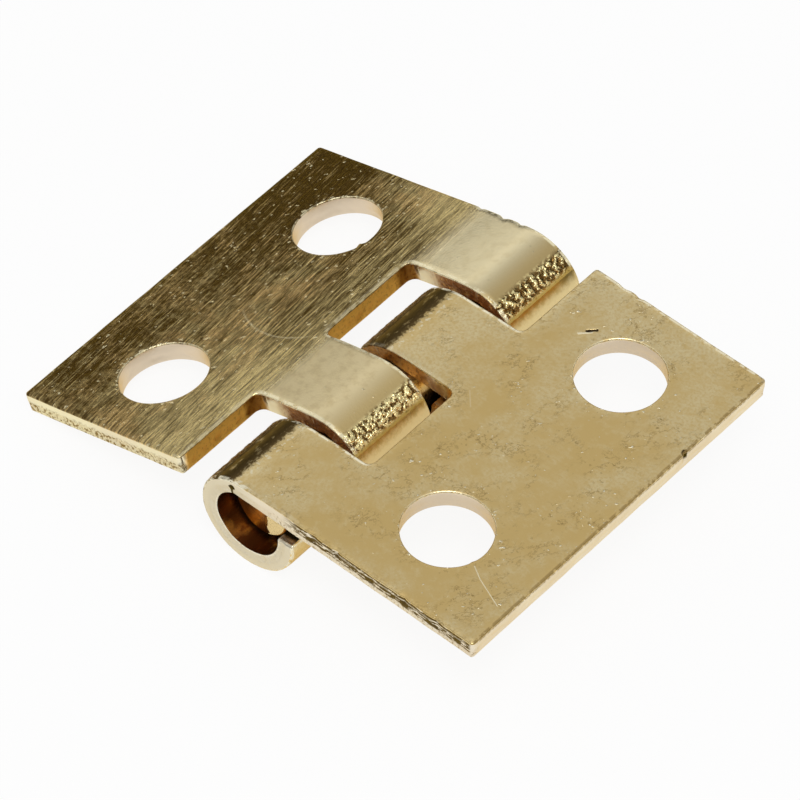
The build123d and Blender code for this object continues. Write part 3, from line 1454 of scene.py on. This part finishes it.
@dataclass
class Leaf:
    """One stamped leaf with two rolled knuckles."""

    side: Side
    sizes: HingeSizes
    face: Union[BrushedFace, SatinFace]
    edge: ShearedEdge
    seed: float
    nicks: tuple[Nick, ...] = ()
    gouges: tuple[Gouge, ...] = ()
    sag: float = 0.042
    sag_end: float = -1.20
    cut_corner: float = 0.07
    crease: float = math.radians(42.0)
    blanked: EdgeProfile = EdgeProfile(roll_width=0.028, margin=0.065, margin_drop=0.011)
    pierced: EdgeProfile = EdgeProfile()
    gauge: MeshGauge = MeshGauge()
    waves: tuple[Wave, ...] = (Wave(0.0035, 0.55, 0.0), Wave(0.0012, 1.7, 4.0))
    bend: BendGrain = BendGrain()
    points: list[Vector] = field(default_factory=list)
    sheet: list[Vector] = field(default_factory=list)
    faces: list[tuple[int, ...]] = field(default_factory=list)
    zones: list[int] = field(default_factory=list)

    def knuckles(self) -> list[Point]:
        """Front and back of the leaf's knuckles along the pin."""
        pitch = 2 * self.sizes.knuckle + self.sizes.running_gap + self.sizes.centre_gap
        front = -self.sizes.length / 2
        return [(front + i * pitch, front + i * pitch + self.sizes.knuckle) for i in (0, 1)]

    def corners(self) -> list[Corner]:
        """Corners of the flat blank, anticlockwise from the smooth side.

        Returns:
            The corners.
        """
        size = self.sizes
        outer, inner, tip = size.reach, size.slot_edge, -size.tip
        half, cut, punch = size.length / 2, self.cut_corner, size.slot_corner
        (front_1, back_1), (front_2, back_2) = self.knuckles()
        return [
            Corner(outer, -half, cut),
            Corner(outer, half, cut),
            Corner(inner, half, cut),
            Corner(inner, back_2, punch),
            Corner(tip, back_2, cut),
            Corner(tip, front_2, cut),
            Corner(inner, front_2, punch),
            Corner(inner, back_1, punch),
            Corner(tip, back_1, cut),
            Corner(tip, front_1, cut),
        ]

    def outline(self) -> list[Vector]:
        """The blank's outline with rounded corners, divided evenly.

        Returns:
            The outline's points, anticlockwise.
        """
        corners = self.corners()
        steps = self.gauge.corner_steps
        turns = [math.pi / 2 * step / steps for step in range(steps + 1)]
        rounded: list[list[Vector]] = []
        for before, here, after in zip(corners[-1:] + corners[:-1], corners, corners[1:] + corners[:1]):
            back = (before.place - here.place).normalized() * here.radius
            ahead = (after.place - here.place).normalized() * here.radius
            centre = here.place + back + ahead
            rounded.append([centre - ahead * math.cos(turn) - back * math.sin(turn) for turn in turns])
        line: list[Vector] = []
        for arc, following in zip(rounded, rounded[1:] + rounded[:1]):
            line.extend(arc)
            span = following[0] - arc[-1]
            parts = max(1, round(span.length / self.gauge.edge))
            line.extend(arc[-1] + span * (part / parts) for part in range(1, parts))
        return line

    def hole(self, y: float) -> list[Vector]:
        """A screw hole's outline, clockwise.

        Args:
            y: Its place along the pin.

        Returns:
            The outline's points.
        """
        centre = Vector((self.sizes.hole_offset, y))
        steps = self.gauge.hole_steps
        turns = [-2 * math.pi * step / steps for step in range(steps)]
        return [centre + Vector((math.cos(turn), math.sin(turn))) * self.sizes.hole for turn in turns]

    def relief(self, s: float, y: float) -> float:
        """Height of the smooth side over its true form at a place, in millimetres.

        Args:
            s: Place across the sheet.
            y: Place along the pin.

        Returns:
            The height.
        """
        height = 0.0
        for wave in self.waves:
            height += wave.height * grain(s, y, wave.lumps, self.seed + wave.seed)
        peel = self.bend.strength_at(s)
        if peel > 0:
            fine = grain(s, y, self.bend.fine_lumps, self.seed + self.bend.fine_seed)
            lumps = grain(s, y, self.bend.lumps, self.seed) + self.bend.fine_share * fine
            height += self.bend.rise * peel * lumps
        for gouge in self.gouges:
            height -= gouge.depth(s, y)
        return height - self.settle(s)

    def settle(self, s: float) -> float:
        """How far a tab has sunk ahead of its curl, smoothly made up again in the curl.

        Args:
            s: Place across the sheet.

        Returns:
            The depth, in millimetres.
        """
        edge = self.sizes.slot_edge
        if not self.sag_end < s < edge:
            return 0.0
        if s > 0:
            return self.sag * (1 - s / edge) ** 2
        share = s / self.sag_end
        slope = 2 * self.sag / edge * -self.sag_end
        return (1 - share) ** 2 * (self.sag * (1 + 2 * share) + slope * share)

    def place(self, s: float, y: float, depth: float, lift: float) -> Vector:
        """Roll a point of the flat sheet into its place in the leaf.

        Args:
            s: Place across the sheet, below 0 in the curl.
            y: Place along the pin.
            depth: Depth under the smooth side on the flat sheet.
            lift: Height of the surface over its true form.

        Returns:
            The point about the pin's axis, in millimetres.
        """
        size = self.sizes
        if s >= 0:
            return Vector((s, y, size.barrel - depth + lift))
        run = -s
        half = math.pi * size.barrel
        if run <= half:
            turn = run / size.barrel
            inside = size.bore
            if turn < math.pi / 4:
                inside = min(inside, size.underside / math.cos(turn))
            radius = size.barrel - depth / size.sheet * (size.barrel - inside) + lift
            return Vector((-radius * math.sin(turn), y, radius * math.cos(turn)))
        turn = (run - half) / size.open_radius
        radius = size.open_radius - depth / size.sheet * size.curl + lift
        return Vector((radius * math.sin(turn), y, size.opening - radius * math.cos(turn)))

    def add_point(self, s: float, y: float, depth: float) -> int:
        """Add a vertex.

        Args:
            s: Place across the sheet.
            y: Place along the pin.
            depth: Depth under the smooth side.

        Returns:
            The vertex's number.
        """
        fade = max(0.0, 1 - depth / self.sizes.sheet)
        self.points.append(self.place(s, y, depth, self.relief(s, y) * fade))
        self.sheet.append(Vector((s, y, depth)))
        return len(self.points) - 1

    def add_wall(self, loop: Sequence[Vector], profile: EdgeProfile) -> tuple[list[int], list[int]]:
        """Build the cut edge along one outline.

        Args:
            loop: The outline, with the metal on its left.
            profile: Section of its edge.

        Returns:
            The vertices where the smooth side and the barrel's side start.
        """
        count = len(loop)
        seed = self.seed + profile.torn_seed
        sharp = [corner.place for corner in self.corners() if corner.radius < self.sizes.slot_corner]
        nearest = [min((spot - corner).length for corner in sharp) for spot in loop]
        eased = [min(1.0, away / profile.margin_run) for away in nearest]
        inward = []
        for i in range(count):
            run = (loop[(i + 1) % count] - loop[i - 1]).normalized()
            inward.append(Vector((-run.y, run.x)))
        levels: list[list[int]] = []
        for inset, depth in profile.rings():
            share = depth / self.sizes.sheet
            level = []
            for spot, inner, share_in in zip(loop, inward, eased):
                move = min(inset, profile.roll_width + profile.margin * share_in)
                move += profile.wander * grain(spot.x, spot.y, profile.wander_lumps, self.seed)
                texture = grain(spot.x + depth, spot.y - depth, profile.torn_lumps, seed)
                move += profile.torn * profile.roughness_at(share) * texture
                move += sum(nick.inset(spot.x, spot.y, share) for nick in self.nicks)
                there = spot + inner * move
                level.append(self.add_point(there.x, there.y, depth))
            levels.append(level)
        for ring, (upper, lower) in enumerate(zip(levels, levels[1:])):
            zone = Zone.FACE if ring < profile.face_rings else Zone.EDGE
            for i in range(count):
                following = (i + 1) % count
                self.faces.append((upper[i], lower[i], lower[following], upper[following]))
                self.zones.append(zone.value)
        return levels[0], levels[-1]

    def spacing(self, s: float, top: bool) -> float:
        """How far apart the points inside a face stand at a place."""
        if not top:
            return self.gauge.under
        if s > self.sizes.slot_edge:
            return self.gauge.plate
        margin = self.gauge.bend_margin
        bent = self.bend.end - margin < s < self.bend.start + margin
        return self.gauge.bend if bent else self.gauge.tab

    def inside_points(self, top: bool) -> list[Vector]:
        """Staggered rows of points over the blank, closer where the sheet is rolled.

        Args:
            top: Whether they are for the smooth side.

        Returns:
            The points.
        """
        size = self.sizes
        rows: list[Vector] = []
        s = -size.tip
        odd = False
        while s < size.reach:
            step = self.spacing(s, top)
            spans = [(-size.length / 2, size.length / 2)] if s > size.slot_edge else self.knuckles()
            for front, back in spans:
                y = front + (step / 2 if odd else 0.0)
                while y < back:
                    rows.append(Vector((s, y)))
                    y += step
            odd = not odd
            s += step * self.gauge.row_share
        return rows

    def fill(self, borders: Sequence[Sequence[int]], top: bool) -> None:
        """Fill one side of the sheet between its borders.

        Args:
            borders: Vertices of the outline and the holes.
            top: Whether it is the smooth side.
        """
        numbers = [number for border in borders for number in border]
        flat = [self.sheet[number].to_2d() for number in numbers]
        edges, start = [], 0
        for border in borders:
            count = len(border)
            edges.extend((start + i, start + (i + 1) % count) for i in range(count))
            start += count
        first = np.array([flat[a] for a, _ in edges])
        second = np.array([flat[b] for _, b in edges])
        rows = np.array(self.inside_points(top))
        gaps = np.array([self.gauge.border_share * self.spacing(s, top) for s in rows[:, 0]])
        rows = rows[self.inside(rows, first, second) & (self.clearance(rows, first, second) > gaps)]
        depth = 0.0 if top else self.sizes.sheet
        numbers += [self.add_point(s, y, depth) for s, y in rows.tolist()]
        flat += [Vector(row) for row in rows.tolist()]
        spots, _, triangles, origins, _, _ = delaunay_2d_cdt(flat, edges, [], 0, self.gauge.snap)
        middles = np.array([sum((spots[i] for i in tri), Vector((0, 0))) / len(tri) for tri in triangles])
        kept = self.inside(middles, first, second)
        for tri, keep in zip(triangles, kept):
            if keep:
                corners = tuple(numbers[origins[i][0]] for i in tri)
                self.faces.append(corners if top else corners[::-1])
                self.zones.append((Zone.FACE if top else Zone.UNDER).value)

    @staticmethod
    def inside(spots: np.ndarray, first: np.ndarray, second: np.ndarray) -> np.ndarray:
        """Tell which places lie on the metal.

        Args:
            spots: The places.
            first: Starts of the border's edges.
            second: Their ends.

        Returns:
            One truth value for each place.
        """
        crossings = np.zeros(len(spots), dtype=int)
        for (ax, ay), (bx, by) in zip(first, second):
            if ay == by:
                continue
            spans = (spots[:, 1] < ay) != (spots[:, 1] < by)
            crossings += spans & (spots[:, 0] < ax + (spots[:, 1] - ay) * (bx - ax) / (by - ay))
        return crossings % 2 == 1

    @staticmethod
    def clearance(spots: np.ndarray, first: np.ndarray, second: np.ndarray) -> np.ndarray:
        """Distance from each place to the nearest border.

        Args:
            spots: The places.
            first: Starts of the border's edges.
            second: Their ends.

        Returns:
            The distances.
        """
        nearest = np.full(len(spots), np.inf)
        for a, b in zip(first, second):
            run = b - a
            share = np.clip(((spots - a) @ run) / (run @ run), 0.0, 1.0)
            away = spots - a - share[:, None] * run
            nearest = np.minimum(nearest, (away**2).sum(axis=1))
        return np.sqrt(nearest)

    def stand(self) -> Matrix:
        """The move from the leaf's own place to the table, in metres."""
        lift = Matrix.Translation((0.0, 0.0, self.sizes.axis_height * MM))
        if self.side is Side.RIGHT:
            return lift
        return lift @ Matrix.Rotation(-self.sizes.droop, 4, "Y") @ Matrix.Rotation(math.pi, 4, "Z")

    def build(self) -> bpy.types.Object:
        """Make the leaf's mesh.

        Returns:
            The leaf's object.
        """
        half = self.sizes.hole_spacing / 2
        walls = [(self.outline(), self.blanked)]
        walls += [(self.hole(y), self.pierced) for y in (-half, half)]
        tops, bottoms = zip(*(self.add_wall(loop, profile) for loop, profile in walls))
        self.fill(tops, True)
        self.fill(bottoms, False)
        stand = self.stand()
        mesh = bpy.data.meshes.new(f"stamped_{self.side.value}")
        mesh.from_pydata([stand @ (point * MM) for point in self.points], [], self.faces)
        mesh.polygons.foreach_set("material_index", self.zones)
        mesh.polygons.foreach_set("use_smooth", [True] * len(self.faces))
        add_sheet(mesh, self.sheet)
        mesh.set_sharp_from_angle(angle=self.crease)
        mesh.validate()
        leaf = bpy.data.objects.new(f"stamped_{self.side.value}", mesh)
        bpy.context.scene.collection.objects.link(leaf)
        return leaf

    def dress(self, leaf: bpy.types.Object, under: bpy.types.Material) -> None:
        """Give the leaf its finishes, one to each zone.

        Args:
            leaf: The leaf's object.
            under: Finish of the barrel's side.
        """
        for material in (self.face.material(), self.edge.material(), under):
            leaf.data.materials.append(material)


def add_sheet(mesh: bpy.types.Mesh, sheet: Sequence[Vector]) -> None:
    """Store each vertex's place on the flat sheet, which the finishes read.

    Args:
        mesh: The mesh.
        sheet: Places in millimetres.
    """
    places = mesh.attributes.new(SHEET, "FLOAT_VECTOR", "POINT")
    places.data.foreach_set("vector", [value for place in sheet for value in place])


@dataclass
class WirePin:
    """The plain wire pin, nipped off at both ends and sunk in the barrel."""

    sizes: HingeSizes
    around: int = 56
    steps: int = 24
    shoulder: float = 0.07
    dome: float = 0.021
    end_rings: tuple[float, ...] = (0.35, 0.65, 0.85, 0.95)
    corner: Shares = (0.985, 0.55)
    wobble: float = 0.004
    wobble_lumps: float = 1.3
    wobble_seed: float = 2.0
    nip: float = 0.012
    nip_lumps: float = 3.0
    crease: float = math.radians(40.0)

    @property
    def radius(self) -> float:
        """The wire's radius."""
        return self.sizes.bore - self.sizes.pin_clearance

    @property
    def end(self) -> float:
        """Distance from the pin's middle to each of its ends."""
        return self.sizes.length / 2 - self.sizes.pin_recess

    def half_section(self) -> list[Point]:
        """Radius and place along the pin of each ring, from the front end to the back.

        Returns:
            The rings.
        """
        start = -self.end + self.shoulder
        step = -2 * start / self.steps
        rings = [(self.radius * share, -self.end + self.dome * share * share) for share in self.end_rings]
        rings.append((self.radius * self.corner[0], -self.end + self.shoulder * self.corner[1]))
        rings.append((self.radius, start))
        body = [(self.radius, start + step * i) for i in range(1, self.steps)]
        return rings + body + [(radius, -y) for radius, y in reversed(rings)]

    def place(self, radius: float, y: float, turn: float) -> Vector:
        """One point of the pin, with the wire's waviness and its nipped ends.

        Args:
            radius: Radius of the point's ring.
            y: Place of the ring along the pin.
            turn: Angle round the pin, in radians.

        Returns:
            The point about the pin's axis, in millimetres.
        """
        across, up = radius * math.cos(turn), radius * math.sin(turn)
        wavy = 1 - self.wobble * (1 + grain(turn, y, self.wobble_lumps, self.wobble_seed))
        inset = 0.0
        if abs(y) > self.end - self.shoulder:
            inset = self.nip * (1 + grain(across, up, self.nip_lumps, y))
        return Vector((across * wavy, y - math.copysign(inset, y), up * wavy))

    def build(self) -> bpy.types.Object:
        """Make the pin's mesh.

        Returns:
            The pin's object.
        """
        faces: list[tuple[int, ...]] = []
        rings = self.half_section()
        turns = [2 * math.pi * step / self.around for step in range(self.around)]
        points = [self.place(radius, y, turn) for radius, y in rings for turn in turns]
        for row in range(len(rings) - 1):
            for step in range(self.around):
                a, b = row * self.around + step, row * self.around + (step + 1) % self.around
                faces.append((a, a + self.around, b + self.around, b))
        last = (len(rings) - 1) * self.around
        faces.append(tuple(range(self.around)))
        faces.append(tuple(range(last + self.around - 1, last - 1, -1)))
        lift = Matrix.Translation((0.0, 0.0, self.sizes.axis_height * MM))
        mesh = bpy.data.meshes.new("wire_pin")
        mesh.from_pydata([lift @ (point * MM) for point in points], [], faces)
        mesh.polygons.foreach_set("use_smooth", [True] * len(faces))
        add_sheet(mesh, points)
        mesh.set_sharp_from_angle(angle=self.crease)
        mesh.validate()
        pin = bpy.data.objects.new("wire_pin", mesh)
        bpy.context.scene.collection.objects.link(pin)
        return pin

    def dress(self, pin: bpy.types.Object) -> None:
        """Give the pin its finish."""
        pin.data.materials.append(DrawnWire().material())


@dataclass(frozen=True)
class Studio:
    """Table, soft light from above and the camera."""

    table_colour: Colour = (0.96, 0.96, 0.955)
    table_reach: float = 1.2
    seen_glow: float = 0.90
    mirrored_glow: float = 0.55
    sky: tuple[tuple[float, float], ...] = (
        (0.500, 0.20),
        (0.545, 0.07),
        (0.655, 0.05),
        (0.673, 0.07),
        (0.681, 0.16),
        (0.690, 0.40),
        (0.700, 0.62),
        (0.720, 0.80),
        (0.760, 0.82),
        (0.830, 0.68),
        (0.878, 0.48),
        (0.925, 0.46),
        (0.955, 0.60),
        (1.000, 1.00),
    )
    sky_strength: float = 1.0
    lamp_place: tuple[float, float, float] = (0.070, -0.075, 0.190)
    lamp_size: float = 0.110
    lamp_power: float = 0.16
    eye: tuple[float, float, float] = (0.05534069, -0.06522947, 0.10303664)
    right: tuple[float, float, float] = (0.7534323, 0.65740341, 0.01266993)
    down: tuple[float, float, float] = (0.51028817, -0.57245843, -0.64179228)
    ahead: tuple[float, float, float] = (-0.41466342, 0.49001235, -0.76677385)
    lens: float = 335.221
    sensor: float = 36.0
    clip: Span = (0.005, 10.0)

    def build(self) -> None:
        """Set up table, light and camera."""
        self.lay_table()
        self.light_sky()
        self.hang_lamp()
        self.set_camera()
        bpy.context.scene.view_settings.view_transform = "Standard"

    def lay_table(self) -> None:
        """Make the pale table, which keeps the hinge's shadow."""
        reach = self.table_reach
        mesh = bpy.data.meshes.new("table")
        corners = [(-reach, -reach, 0.0), (reach, -reach, 0.0), (reach, reach, 0.0), (-reach, reach, 0.0)]
        mesh.from_pydata(corners, [], [(0, 1, 2, 3)])
        table = bpy.data.objects.new("table", mesh)
        bpy.context.scene.collection.objects.link(table)
        material, bench = new_material("pale_table")
        seen = bench.node("ShaderNodeLightPath", {}, {}, "Is Camera Ray")
        mirrored = bench.node("ShaderNodeLightPath", {}, {}, "Is Glossy Ray")
        through = bench.node("ShaderNodeLightPath", {}, {}, "Is Transmission Ray")
        glow = (seen + through).least(1.0) * self.seen_glow + mirrored * self.mirrored_glow
        paper = bench.node("ShaderNodeBsdfDiffuse", {}, {"Color": self.table_colour})
        white = bench.node("ShaderNodeEmission", {}, {"Color": (1.0, 1.0, 1.0), "Strength": 1.0})
        bench.surface(bench.node("ShaderNodeMixShader", {}, {0: glow, 1: paper, 2: white}))
        mesh.materials.append(material)

    def light_sky(self) -> None:
        """Light the scene softly from all round, brightest from above."""
        world = bpy.data.worlds.new("soft_studio")
        world.use_nodes = True
        bench = ShaderBench(world.node_tree)
        ray = bench.node("ShaderNodeTexCoord", {}, {}, "Generated")
        height = (bench.part(ray, "Z") + 1) / 2
        stops = [(place, (level, level, level)) for place, level in self.sky]
        light = bench.node("ShaderNodeValToRGB", {"stops": stops}, {"Fac": height}, "Color")
        sky = bench.node("ShaderNodeBackground", {}, {"Color": light, "Strength": self.sky_strength})
        bench.node("ShaderNodeOutputWorld", {}, {"Surface": sky})
        bpy.context.scene.world = world

    def hang_lamp(self) -> None:
        """Hang one square softbox over the near side."""
        data = bpy.data.lights.new("softbox", "AREA")
        data.shape = "SQUARE"
        data.size = self.lamp_size
        data.energy = self.lamp_power
        lamp = bpy.data.objects.new("softbox", data)
        lamp.location = self.lamp_place
        lamp.rotation_euler = (-Vector(self.lamp_place)).to_track_quat("-Z", "Y").to_euler()
        bpy.context.scene.collection.objects.link(lamp)

    def set_camera(self) -> None:
        """Set the camera where the photograph was taken from."""
        data = bpy.data.cameras.new("camera")
        data.sensor_width = self.sensor
        data.lens = self.lens
        data.clip_start, data.clip_end = self.clip
        camera = bpy.data.objects.new("camera", data)
        axes = (Vector(self.right), -Vector(self.down), -Vector(self.ahead))
        turn = Matrix(axes).transposed().to_4x4()
        camera.matrix_world = Matrix.Translation(self.eye) @ turn
        bpy.context.scene.collection.objects.link(camera)
        bpy.context.scene.camera = camera


def left_leaf(sizes: HingeSizes) -> Leaf:
    """The brushed leaf that rests on the table.

    Args:
        sizes: The hinge's sizes.

    Returns:
        The leaf.
    """
    nicks = (
        Nick(2.43, -2.10, 0.08, -0.10, 0.0, 0.45),
        Nick(3.70, 2.10, 0.05, -0.05, 0.7, 1.0),
        Nick(0.55, -4.0, 0.10, 0.05, 0.0, 0.5),
        Nick(0.14, -4.0, 0.08, 0.035, 0.0, 0.5),
        Nick(1.12, -4.0, 0.07, 0.03, 0.0, 0.4),
    )
    edge = ShearedEdge(
        "left_edge",
        sizes,
        fresh=(1.00, 0.92, 0.62),
        ring=(0.95, 0.84, 0.55),
        # cheek: painted shade and amber inter-reflection on the knuckles' sides; facing: painted amber
        # reflection by the centre gap.
        cheek=(0.44, 0.20, 0.07),
        facing=1.0,
        crumbling=1.0,
    )
    return Leaf(Side.LEFT, sizes, BrushedFace(sizes), edge, seed=11.3, nicks=nicks)


def right_leaf(sizes: HingeSizes) -> Leaf:
    """The satin leaf that stands level.

    Args:
        sizes: The hinge's sizes.

    Returns:
        The leaf.
    """
    nicks = (
        Nick(5.27, 1.74, 0.05, 0.03, 0.0, 0.6),
        Nick(2.0, 4.0, 0.12, 0.03, 0.0, 0.5),
        Nick(2.35, 4.0, 0.10, 0.03, 0.0, 0.5),
        Nick(1.62, -4.0, 0.14, 0.020, 0.0, 0.6),
        Nick(2.15, -4.0, 0.08, 0.026, 0.0, 0.5),
        Nick(2.95, -4.0, 0.10, 0.018, 0.2, 0.7),
        Nick(3.70, -4.0, 0.07, 0.026, 0.0, 0.5),
        Nick(4.45, -4.0, 0.12, 0.020, 0.0, 0.6),
        Nick(4.10, -2.62, 0.05, -0.04, 0.0, 0.4),
    )
    gouges = (Gouge((2.05, 2.60), (2.18, 2.72), 0.05, 0.012),)
    # Pits in the barrel's near end, painted near-black as the shade in them.
    pits = (Pit((-0.42, 0.215), (-0.36, 0.180), 0.080), Pit((-0.42, 0.22), (-0.47, 0.42), 0.050))
    edge = ShearedEdge(
        "right_edge",
        sizes,
        fresh=(0.93, 0.85, 0.68),
        # ring: painted a little darker than on the left leaf, as painted shade for the barrel end's dimmer
        # reflection.
        ring=(0.80, 0.73, 0.56),
        # cheek: painted shade and amber inter-reflection on the knuckles' sides.
        cheek=(0.82, 0.45, 0.13),
        crumbling=0.4,
        burr_share=1.0,
        pits=pits,
        spots=(1.74,),
    )
    return Leaf(Side.RIGHT, sizes, SatinFace(sizes), edge, seed=3.7, nicks=nicks, gouges=gouges)


def main() -> None:
    """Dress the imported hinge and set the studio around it."""
    logging.basicConfig(level=logging.INFO, format="%(name)s: %(message)s")
    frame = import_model()
    groups = frame["record"]["behaviour"]["bodies"]
    bodies = {node: body for body, nodes in groups.items() for node in nodes}
    sizes = HingeSizes()
    under = RolledUnder().material()
    for leaf in (left_leaf(sizes), right_leaf(sizes)):
        piece = leaf.build()
        leaf.dress(piece, under)
        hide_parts(leaf.side.value)
        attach(piece, bodies[leaf.side.value])
        LOG.info("%s: %d faces", piece.name, len(piece.data.polygons))
    pin = WirePin(sizes)
    piece = pin.build()
    pin.dress(piece)
    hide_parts("hinge_pin")
    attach(piece, bodies["hinge_pin"])
    LOG.info("%s: %d faces", piece.name, len(piece.data.polygons))
    Studio().build()


if __name__ == "__main__":
    main()
